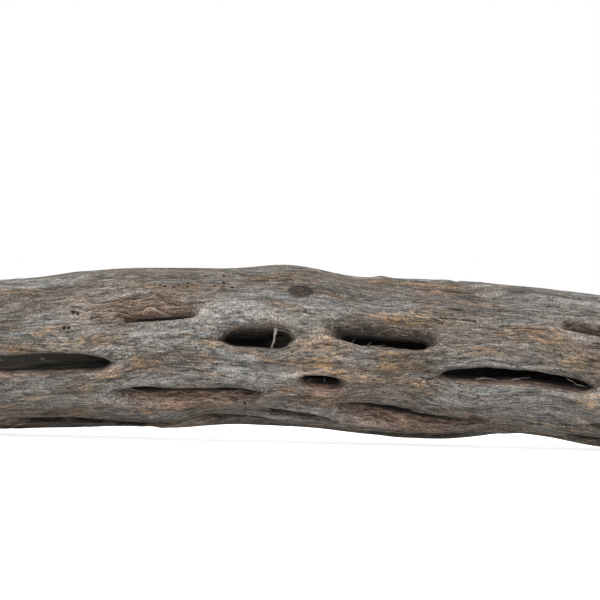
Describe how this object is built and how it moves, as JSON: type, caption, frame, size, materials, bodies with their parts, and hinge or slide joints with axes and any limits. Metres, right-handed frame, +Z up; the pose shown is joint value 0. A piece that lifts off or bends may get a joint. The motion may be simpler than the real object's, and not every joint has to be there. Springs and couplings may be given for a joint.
{
  "type": "cholla cactus skeleton",
  "caption": "Length of hollow cholla cactus wood, a woody lattice tube with long lens-shaped windows, sawn square at both ends.",
  "frame": {"origin": "centre of the bounding box in X and Y, on the plane the stem rests on", "axes": "+X along the stem, +Z up from the resting plane, -Y the side seen in the picture"},
  "size_m": [0.3, 0.0525, 0.0568],
  "materials": {
    "weathered_wood": "dry weathered grey-brown wood, matt, with fine grain that flows round the windows and golden brown patches"
  },
  "bodies": {
    "root": {"cholla_skeleton": "weathered_wood"}
  },
  "joints": []
}
